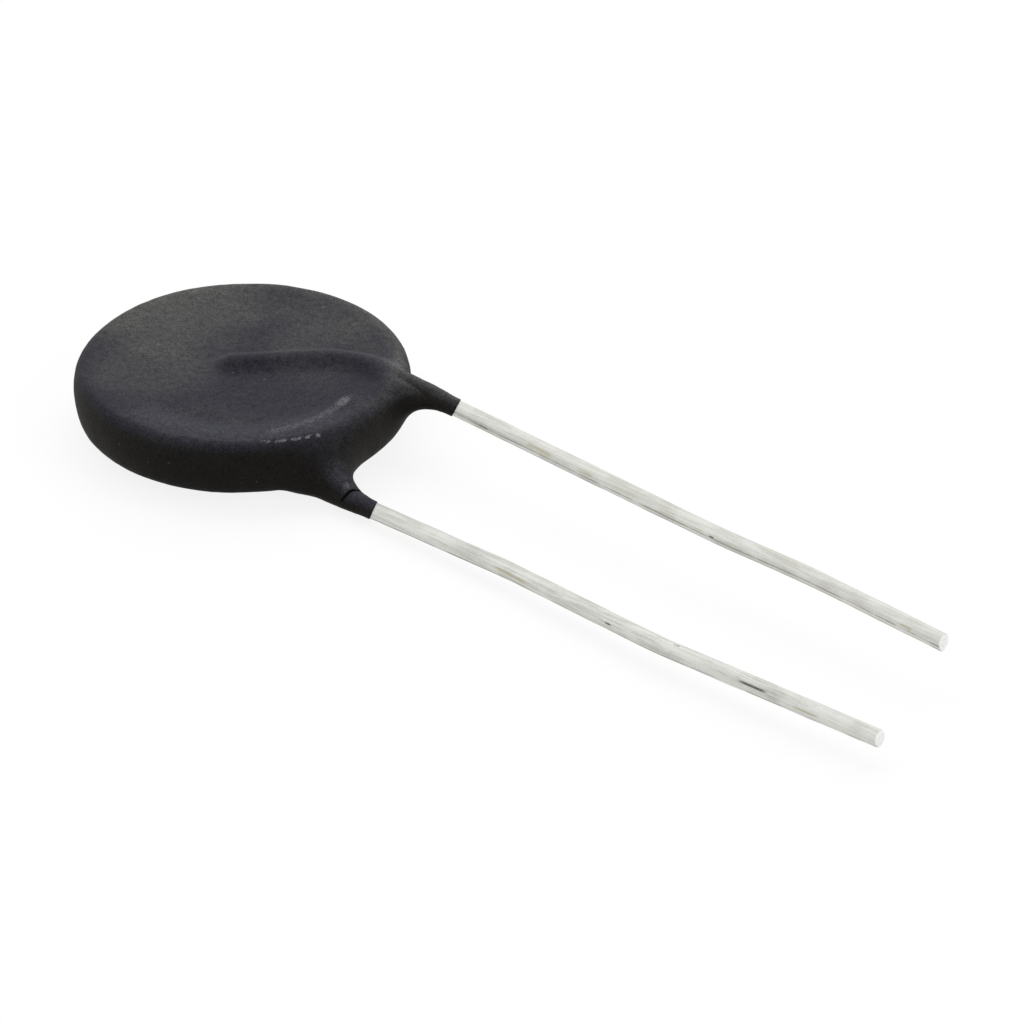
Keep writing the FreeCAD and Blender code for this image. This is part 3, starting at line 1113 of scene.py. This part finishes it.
@dataclass
class DippedCoating:
    """The coated disc: dished faces, a full rounded rim, two covered wires and the crack, in millimetres.

    The skin's swells each have a height, a wavelength and a seed. The grid reaches past the disc by its two
    margins, and only its places near the skin, or out at the necks, get the covers' full field.
    """

    covers: tuple[WireCover, ...]
    crack: NeckCrack
    radius: float = 9.79
    middle_shift: float = 0.055
    face_height: float = 1.66
    crown_height: float = 0.2
    upper_round: float = 0.84
    lower_round: float = 0.68
    dish_depth: float = 0.10
    dish_start: float = 6.4
    dish_end: float = 8.5
    swells: tuple[tuple[float, float, int], ...] = ((0.012, 6.0, 11), (0.008, 2.2, 12), (0.0035, 0.8, 13))
    side_margin: float = 0.30
    top_margin: float = 0.85
    band_half_width: float = 1.0
    near_inside: float = 0.8
    near_outside: float = 1.2
    necks_from: float = 8.0
    coarse_step: float = 0.135
    fine_step: float = 0.058
    rise_step: float = 0.08
    neck_from: float = 9.4
    neck_to: float = 14.3

    def disc_distance(self, points: np.ndarray) -> np.ndarray:
        """The distance field of the disc without its covers.

        Over the faces it is the height above the dished face. Past the rim round's start it is the distance
        from a quarter of an ellipse, worked out to first order.

        Args:
            points: Places in millimetres, one row each.

        Returns:
            One distance for each point, negative inside.
        """
        away = np.hypot(points[:, 0] - self.middle_shift, points[:, 1])
        above = points[:, 2] > self.crown_height
        sink = self.dish_depth * (1.0 - smooth_step(self.dish_start, self.dish_end, away))
        rise = np.where(above, self.face_height - self.crown_height, self.face_height + self.crown_height)
        rim_round = np.where(above, self.upper_round, self.lower_round)
        height = np.abs(points[:, 2] - self.crown_height) + sink
        over_face = height - rise
        across = (away - (self.radius - rim_round)) / rim_round
        climb = height / rise
        ratio = np.sqrt(across ** 2 + climb ** 2)
        steepness = np.sqrt((across / rim_round) ** 2 + (climb / rise) ** 2)
        tiny = 1e-6
        round_rim = (ratio - 1.0) * ratio / np.maximum(steepness, tiny)
        return np.where(across > 0.0, round_rim, over_face)

    def distance(self, points: np.ndarray) -> np.ndarray:
        """The whole coating's field: the disc, then each cover, then the crack.

        Args:
            points: Places in millimetres, one row each.

        Returns:
            One distance for each point, negative inside.
        """
        joined = self.disc_distance(points)
        for cover in self.covers:
            joined = cover.distance(points, joined)
        return self.crack.distance(points, joined)

    def uneven_distance(self, points: np.ndarray) -> np.ndarray:
        """The coating's field with the slow unevenness of a dipped and cured skin."""
        swells = sum(height * ripple(points, wavelength, seed) for height, wavelength, seed in self.swells)
        return self.distance(points) + swells

    def _axes(self) -> tuple[np.ndarray, np.ndarray, np.ndarray]:
        """The grid's places: fine along X over the necks, and fine across Y beside the wires.

        Returns:
            The places along X, Y and Z.
        """
        edge = self.radius + self.side_margin
        along = np.concatenate([np.arange(-edge, self.neck_from, self.coarse_step),
                                np.arange(self.neck_from, self.neck_to, self.fine_step)])
        across = [-edge]
        sides = [cover.face.value * cover.route.side for cover in self.covers]
        while across[-1] < edge:
            beside_wire = any(abs(across[-1] - side) < self.band_half_width for side in sides)
            across.append(across[-1] + (self.fine_step if beside_wire else self.coarse_step))
        top = self.face_height + self.top_margin
        return along, np.array(across), np.arange(-top, top, self.rise_step)

    def build(self) -> bpy.types.Object:
        """Mesh the coating and put it in place of its solid.

        Returns:
            The coating's object.
        """
        axes = self._axes()
        grid = np.stack(np.meshgrid(*axes, indexing="ij"), axis=-1)
        flat = grid.reshape(-1, 3)
        values = self.disc_distance(flat)
        outside_core = values > -self.near_inside
        wanted = outside_core & ((values < self.near_outside) | (flat[:, 0] > self.necks_from))
        values[wanted] = self.distance(flat[wanted])
        points, faces = surface_net(values.reshape(grid.shape[:3]), axes)
        points = settle(points, self.uneven_distance)
        piece = make_piece("dipped_coating", points, faces.tolist())
        # The crack's painted shade, kept on the points.
        crack_shade = piece.data.attributes.new(CoatingFinish.CRACK_SHADE, "FLOAT", "POINT")
        crack_shade.data.foreach_set("value", self.crack.crack_shade(points))
        piece.data.materials.append(CoatingFinish().material())
        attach(piece, BODY)
        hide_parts("coating")
        logging.info("dipped coating: %d points, %d faces", len(points), len(faces))
        return piece


@dataclass
class TinnedLead:
    """One tinned wire, as a profile carried along its route, with its cut end, in millimetres.

    The cut leans so that it reaches furthest out at the cut's turn, by the slope times the wire's radius. The
    burr stands forward at its own turn. Turns are shares of a turn round the wire. The drawn grooves and the
    slow swells each have a depth and a wavelength, and the grooves are drawn out along the wire by their
    stretch. The radius is held under its full size by the undersize, so that the wire stays within its solid.
    """

    CHART = "wire"
    CHART_LENGTH = 60.0
    HIDDEN_START = 0.15

    node: str
    route: WireRoute
    face: WireFace
    finish: TinnedFinish
    seed: int
    cut_slope: float
    cut_turn: float
    burr: float
    burr_turn: float
    edge_round: float
    radius: float = 0.5
    undersize: float = 0.010
    groove_depth: float = 0.005
    groove_width: float = 0.22
    groove_stretch: float = 12.0
    swell_depth: float = 0.005
    swell_length: float = 2.6
    burr_width: float = 0.12
    burr_power: int = 6
    edge_power: float = 0.3
    cut_sharpness: float = 12.0
    step: float = 0.1
    around: int = 48
    cap_rings: int = 14

    def build(self) -> bpy.types.Object:
        """Mesh the wire and put it in place of its solid.

        Returns:
            The wire's object.
        """
        along, shrink = self._rings()
        turns = np.linspace(0.0, 1.0, self.around, endpoint=False)
        middle, heading = self.route.at(along)
        sideways = np.cross(UP, heading)
        sideways /= np.linalg.norm(sideways, axis=1, keepdims=True)
        upward = np.cross(heading, sideways)
        angle = 2.0 * math.pi * turns
        radius = self._radii(along, turns, shrink)
        cut = np.clip((1.0 - shrink) * self.cut_sharpness, 0.0, 1.0)
        spoke = (np.cos(angle)[None, :, None] * sideways[:, None, :]
                 + np.sin(angle)[None, :, None] * upward[:, None, :])
        shift = self._cut_face(along, angle, shrink)
        places = middle[:, None, :] + radius[:, :, None] * spoke + shift[:, :, None] * heading[:, None, :]
        points = self.face.turned(places.reshape(-1, 3))
        faces, chart = self._faces(along, turns, len(points))
        ends = np.stack([places[0].mean(axis=0), places[-1].mean(axis=0)])
        points = np.concatenate([points, self.face.turned(ends)])
        piece = make_piece(self.node + "_wire", points, faces)
        layer = piece.data.uv_layers.new(name=self.CHART)
        layer.data.foreach_set("uv", np.array(chart, np.float32).ravel())
        cut_share = piece.data.attributes.new(TinnedFinish.CUT, "FLOAT", "POINT")
        cut_share.data.foreach_set("value", np.concatenate([np.repeat(cut, self.around), [0.0, 1.0]]))
        piece.data.materials.append(self.finish.material())
        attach(piece, BODY)
        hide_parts(self.node)
        logging.info("%s: %d points, %d faces", piece.name, len(points), len(faces))
        return piece

    def _rings(self) -> tuple[np.ndarray, np.ndarray]:
        """The rings' places along the wire, and how much each is drawn in.

        Over the cut end the ring's radius is the wire's times a small power of cos(a), and its place is the
        end less the edge's round times (1 - sin a), which gives a flat end with a rounded edge.

        Returns:
            The places, and the shares of the full radius.
        """
        end = self.route.length - self.edge_round
        body = np.linspace(self.HIDDEN_START, end, int(end / self.step))
        turn = np.linspace(0.0, math.pi / 2.0, self.cap_rings)[1:-1]
        along = np.concatenate([body, end + self.edge_round * np.sin(turn)])
        shrink = np.concatenate([np.ones(len(body)), np.cos(turn) ** self.edge_power])
        return along, shrink

    def _radii(self, along: np.ndarray, turns: np.ndarray, shrink: np.ndarray) -> np.ndarray:
        """The wire's radius on each ring and turn: drawn grooves, slow swells, and the end drawn in.

        Args:
            along: The rings' places along the wire.
            turns: The places round the wire, as shares of a turn.
            shrink: The rings' shares of the full radius.

        Returns:
            One radius for each ring and turn.
        """
        grooves = self._skin(along / self.groove_stretch, turns, self.groove_width, self.seed)
        swells = self._skin(along, turns, self.swell_length, self.seed + 1)
        uneven = self.radius - self.undersize + self.groove_depth * grooves + self.swell_depth * swells
        return uneven * shrink[:, None]

    def _skin(self, along: np.ndarray, turns: np.ndarray, wavelength: float, seed: int) -> np.ndarray:
        """Unevenness over the wire's skin, worked out as if the wire were straight.

        Args:
            along: The rings' places along the wire, or those places drawn together.
            turns: The places round the wire, as shares of a turn.
            wavelength: The middle length of the unevenness.
            seed: The seed of its waves.

        Returns:
            One height for each ring and turn, mostly between -1 and 1.
        """
        angle = 2.0 * math.pi * turns
        places = np.stack(np.broadcast_arrays(along[:, None], self.radius * np.cos(angle)[None, :],
                                              self.radius * np.sin(angle)[None, :]), axis=-1)
        return ripple(places.reshape(-1, 3), wavelength, seed).reshape(len(along), len(turns))

    def _cut_face(self, along: np.ndarray, angle: np.ndarray, shrink: np.ndarray) -> np.ndarray:
        """How far each point near the cut stands forward: the cut's lean and the burr on the cut's edge.

        Both die out along the last two radii of the wire. The burr's height falls off round the wire as a
        bell curve.

        Args:
            along: The rings' places along the wire.
            angle: The places round the wire, in radians.
            shrink: The rings' shares of the full radius.

        Returns:
            One shift for each ring and angle.
        """
        near = smooth_step(self.route.length - 2.0 * self.radius, self.route.length - self.edge_round, along)
        lean = np.cos(angle - 2.0 * math.pi * self.cut_turn)[None, :] * self.cut_slope * self.radius
        off_burr = np.abs((angle / (2.0 * math.pi) - self.burr_turn + 0.5) % 1.0 - 0.5)
        bell = np.exp(-(off_burr / self.burr_width) ** 2)
        burr = self.burr * bell[None, :] * shrink[:, None] ** self.burr_power
        return (lean * shrink[:, None] + burr) * (near ** 2)[:, None]

    def _faces(self, along: np.ndarray, turns: np.ndarray,
               count: int) -> tuple[list[list[int]], list[list[float]]]:
        """Quads between the rings and a fan over each end, with the wire's map at each face's corners.

        Args:
            along: The rings' places along the wire.
            turns: The places round the wire, as shares of a turn.
            count: The number of the rings' points, after which the two ends' middle points follow.

        Returns:
            The faces, and the map's places in the order of the faces' corners.
        """
        rings, spokes = len(along), len(turns)
        ring, spoke = np.meshgrid(np.arange(rings - 1), np.arange(spokes), indexing="ij")
        after = (spoke + 1) % spokes
        quads = np.stack([ring * spokes + spoke, ring * spokes + after,
                          (ring + 1) * spokes + after, (ring + 1) * spokes + spoke], axis=-1).reshape(-1, 4)
        low, high = along[ring] / self.CHART_LENGTH, along[ring + 1] / self.CHART_LENGTH
        start, stop = spoke / spokes, (spoke + 1) / spokes
        chart = np.stack([low, start, low, stop, high, stop, high, start], axis=-1).reshape(-1, 2)
        first, last = np.arange(spokes), (rings - 1) * spokes + np.arange(spokes)
        fans = np.concatenate([np.stack([np.roll(first, -1), first, np.full(spokes, count)], axis=1),
                               np.stack([last, np.roll(last, -1), np.full(spokes, count + 1)], axis=1)])
        fan_chart = np.stack([np.repeat([0.0, along[-1] / self.CHART_LENGTH], spokes * 3),
                              np.full(spokes * 6, 0.5)], axis=-1)
        return quads[:, ::-1].tolist() + fans[:, ::-1].tolist(), self._corner_order(chart, fan_chart)

    @staticmethod
    def _corner_order(chart: np.ndarray, fan_chart: np.ndarray) -> list[list[float]]:
        """The map's places with each quad's corners in the same reversed order as its points."""
        reversed_quads = chart.reshape(-1, 4, 2)[:, ::-1].reshape(-1, 2)
        return np.concatenate([reversed_quads, fan_chart]).tolist()


@dataclass
class HiddenPieces:
    """The sealed inner pieces, which keep their solids and get their own finishes."""

    finishes: Mapping[str, InnerFinish] = field(default_factory=lambda: {
        "ceramic": InnerFinish("sintered_ceramic", (0.14, 0.12, 0.11), (0.07, 0.06, 0.055), 0.0, 0.7, 0.12),
        "silver": InnerFinish("fired_silver", (0.86, 0.85, 0.82), (0.70, 0.69, 0.66), 0.9, 0.5, 0.08),
        "solder": InnerFinish("lead_free_solder", (0.66, 0.66, 0.64), (0.50, 0.50, 0.49), 0.9, 0.35, 0.2),
    })

    def dress(self) -> None:
        """Give each inner node its slot's material."""
        slots = {"ceramic_disc": "ceramic", "front_electrode": "silver", "back_electrode": "silver",
                 "front_solder": "solder", "back_solder": "solder"}
        materials = {name: finish.material() for name, finish in self.finishes.items()}
        for name, slot in slots.items():
            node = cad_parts[name]
            node.data.materials.clear()
            node.data.materials.append(materials[slot])
            logging.info("%s: %s", name, slot)


@dataclass(frozen=True)
class SoftLight:
    """A square lamp aimed at the origin, in metres and watts. Mirrors show the world and not the lamp."""

    name: str
    place: tuple[float, float, float]
    size: float
    power: float

    def build(self) -> None:
        """Hang the lamp at its place."""
        data = bpy.data.lights.new(self.name, "AREA")
        data.shape = "SQUARE"
        data.size = self.size
        data.energy = self.power
        light = bpy.data.objects.new(self.name, data)
        light.location = self.place
        light.visible_glossy = False
        light.rotation_euler = Vector(self.place).to_track_quat("Z", "Y").to_euler()
        bpy.context.scene.collection.objects.link(light)


@dataclass
class Studio:
    """The pale floor, the soft light and the camera. Lengths are in metres and angles in degrees.

    The camera's focal length is in pixels of the picture's frame, and its sensor's width in millimetres. The
    shadow's share is how much of the floor's white comes from the lamps. The bounce is the floor's colour to
    the light that it throws back, and the mirrored colour is what the wires show of it.
    """

    azimuth: float = 40.672
    elevation: float = 31.931
    distance: float = 0.300
    aim_right: float = 0.015666
    aim_forward: float = -0.013936
    focal_pixels: float = 5371.2
    frame_pixels: float = 1024.0
    sensor: float = 36.0
    nearest_seen: float = 0.01
    floor_size: float = 6.0
    shadow_share: float = 0.14
    bounce: Colour = (0.16, 0.155, 0.15)
    mirrored: Colour = (0.87, 0.87, 0.86)
    ambient: float = 0.28
    lights: tuple[SoftLight, ...] = (SoftLight("key_light", (-0.38, 0.56, 0.62), 1.10, 9.0),
                                     SoftLight("fill_light", (-0.62, -0.14, 0.58), 0.60, 2.2),
                                     SoftLight("side_light", (0.66, 0.26, 0.38), 0.50, 1.7))

    def build(self) -> None:
        """Make the camera, the floor, the lights and the world."""
        self._camera()
        self._floor()
        self._world()
        for light in self.lights:
            light.build()
        logging.info("studio: camera, floor, world and %d lights", len(self.lights))

    def _camera(self) -> None:
        """Place the camera at the picture's azimuth and elevation, aimed beside the disc's middle."""
        azimuth, elevation = math.radians(self.azimuth), math.radians(self.elevation)
        back = Vector((math.sin(azimuth) * math.cos(elevation), -math.cos(azimuth) * math.cos(elevation),
                       math.sin(elevation)))
        target = Vector((self.aim_right * math.cos(azimuth) - self.aim_forward * math.sin(azimuth),
                         self.aim_right * math.sin(azimuth) + self.aim_forward * math.cos(azimuth), 0.0))
        data = bpy.data.cameras.new("camera")
        data.sensor_width = self.sensor
        data.lens = self.focal_pixels / self.frame_pixels * self.sensor
        data.clip_start = self.nearest_seen
        camera = bpy.data.objects.new("camera", data)
        camera.location = Vector(put_in_frame(np.zeros(3))) + target + back * self.distance
        camera.rotation_euler = (-back).to_track_quat("-Z", "Y").to_euler()
        bpy.context.scene.collection.objects.link(camera)
        bpy.context.scene.camera = camera

    def _floor(self) -> None:
        """A white floor with a faint shadow, darker to the light it throws back and in mirrored views."""
        half = self.floor_size / 2.0
        mesh = bpy.data.meshes.new("floor")
        mesh.from_pydata([(-half, -half, 0.0), (half, -half, 0.0), (half, half, 0.0), (-half, half, 0.0)], [],
                         [(0, 1, 2, 3)])
        floor = bpy.data.objects.new("floor", mesh)
        bpy.context.scene.collection.objects.link(floor)
        graph = Graph(bpy.data.materials.new("pale_floor"))
        pale = graph.node("ShaderNodeBsdfDiffuse", None, {"Color": WHITE})
        white = graph.node("ShaderNodeEmission", None, {"Color": WHITE, "Strength": 1.0})
        seen = graph.node("ShaderNodeMixShader", None, {0: self.shadow_share, 1: white, 2: pale})
        dim = graph.node("ShaderNodeBsdfDiffuse", None, {"Color": (*self.bounce, 1.0)})
        mirrored = graph.node("ShaderNodeEmission", None, {"Color": (*self.mirrored, 1.0), "Strength": 1.0})
        rays = graph.node("ShaderNodeLightPath", None, None, "Is Diffuse Ray")
        lit = graph.node("ShaderNodeMixShader", None, {0: rays, 1: seen, 2: dim})
        surface = graph.node("ShaderNodeMixShader", None,
                             {0: rays.sibling("Is Glossy Ray"), 1: lit, 2: mirrored})
        graph.node("ShaderNodeOutputMaterial", None, {"Surface": surface})
        mesh.materials.append(graph.owner)

    def _world(self) -> None:
        """A white world for what is seen or mirrored, and a dim one for what it lights."""
        graph = Graph(bpy.data.worlds.new("studio"))
        white = graph.node("ShaderNodeBackground", None, {"Color": WHITE, "Strength": 1.0})
        dim = graph.node("ShaderNodeBackground", None, {"Color": WHITE, "Strength": self.ambient})
        rays = graph.node("ShaderNodeLightPath", None, None, "Is Diffuse Ray")
        surface = graph.node("ShaderNodeMixShader", None, {0: rays, 1: white, 2: dim})
        graph.node("ShaderNodeOutputWorld", None, {"Surface": surface})
        bpy.context.scene.world = graph.owner


def main() -> None:
    """Build the coating, the leads and the studio."""
    logging.basicConfig(level=logging.INFO, format="%(message)s")
    bpy.context.scene.view_settings.view_transform = "Standard"
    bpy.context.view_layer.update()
    front_route = WireRoute(side=4.40, reach=47.9, open_bends=((15.7, -0.52), (9.4, -0.33)), tip_drift=-0.63)
    back_route = WireRoute(side=3.54, reach=49.6, open_bends=((26.1, 0.02), (14.9, 0.69)), tip_drift=0.40)
    front_cover = WireCover(front_route, WireFace.UPPER, neck_length=4.0, inner_reach=3.2, outer_reach=0.6,
                            web_dip=42.0, web_fade=(0.45, 1.1), mouth_leans=(-0.24, 0.26))
    back_cover = WireCover(back_route, WireFace.LOWER, neck_length=4.25, inner_reach=4.0, outer_reach=1.7,
                           web_dip=34.0, web_fade=(0.1, 0.8), mouth_leans=(0.26, -0.22))
    DippedCoating((front_cover, back_cover), NeckCrack(back_cover)).build()
    front_finish = TinnedFinish(
        "tinned_front_wire", shade_lines=(WireMark(30.0, 40.0, 0.500, 0.020), WireMark(30.0, 40.0, 0.60, 0.035)),
        yellowed=(WireMark(19.4, 1.2, 0.42, 0.06), WireMark(22.9, 0.7, 0.43, 0.05),
                  WireMark(28.9, 0.8, 0.43, 0.05), WireMark(31.0, 0.7, 0.42, 0.06),
                  WireMark(45.6, 0.5, 0.45, 0.05)),
        scuffs=(WireMark(32.2, 0.20, 0.47, 0.02), WireMark(15.3, 0.4, 0.50, 0.02)))
    back_finish = TinnedFinish(
        "tinned_back_wire", shade_lines=(WireMark(30.0, 40.0, 0.09, 0.040),),
        yellowed=(WireMark(24.0, 1.5, 0.95, 0.06), WireMark(45.0, 1.0, 0.98, 0.06)),
        scuffs=(WireMark(41.45, 1.1, 0.921, 0.030), WireMark(31.4, 0.25, 0.954, 0.022),
                WireMark(36.0, 0.25, 0.76, 0.02)), dull=(0.52, 0.52, 0.48))
    TinnedLead("front_lead", front_route, WireFace.UPPER, front_finish, seed=21, cut_slope=0.12, cut_turn=0.6,
               burr=0.10, burr_turn=0.62, edge_round=0.07).build()
    TinnedLead("back_lead", back_route, WireFace.LOWER, back_finish, seed=31, cut_slope=0.10, cut_turn=0.1,
               burr=0.02, burr_turn=0.1, edge_round=0.14).build()
    HiddenPieces().dress()
    Studio().build()


if __name__ == "__main__":
    main()
